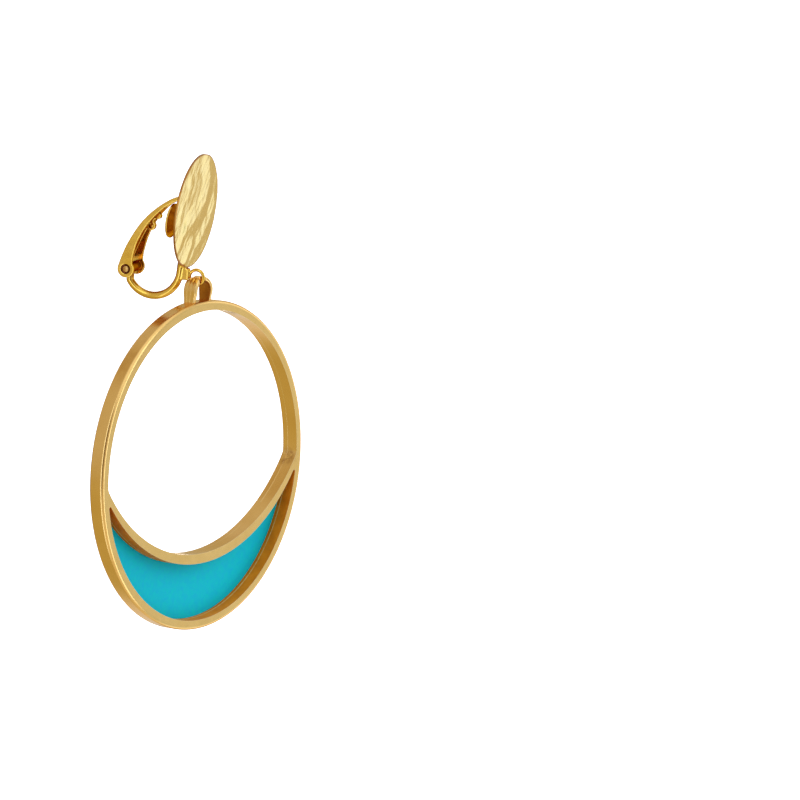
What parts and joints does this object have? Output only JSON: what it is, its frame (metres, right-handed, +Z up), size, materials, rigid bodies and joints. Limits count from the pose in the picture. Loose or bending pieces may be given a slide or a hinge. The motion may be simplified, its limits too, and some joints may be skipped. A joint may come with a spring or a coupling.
{
  "type": "clip-on earring",
  "caption": "Clip-on drop earring: a round hammered disc on a sprung-wire clip with a hinged lever, and a hanging hoop with a turquoise crescent.",
  "frame": {"origin": "middle of the button pad's rear face, where the ear lobe is clamped", "axes": "+Z up as worn, -Y the way the disc faces, +X along the clip's hinge pin; the hoop hangs down and is turned 16.5 degrees about Z"},
  "size_m": [0.0517, 0.022, 0.077],
  "materials": {
    "polished_gold": "polished",
    "hammered_gold": "hammered and brushed",
    "pin_metal": "satin",
    "satin_gold": "satin",
    "turquoise": "matte enamel"
  },
  "bodies": {
    "clip": {"clip_frame": "polished_gold", "front_disc": "hammered_gold", "hinge_pin": "pin_metal"},
    "lever": {"clip_lever": "polished_gold"},
    "drop": {"hoop_drop": "satin_gold", "crescent_inlay": "turquoise"}
  },
  "joints": [
    {"name": "lever_open", "type": "hinge", "parent": "clip", "child": "lever", "pos_m": [0, 0.0067, -0.008], "axis": [-1, 0, 0], "range_deg": [0, 80]},
    {"name": "drop_swing", "type": "hinge", "parent": "clip", "child": "drop", "pos_m": [0, -0.0045, -0.0089], "axis": [1, 0, 0], "range_deg": [-60, 35]}
  ]
}
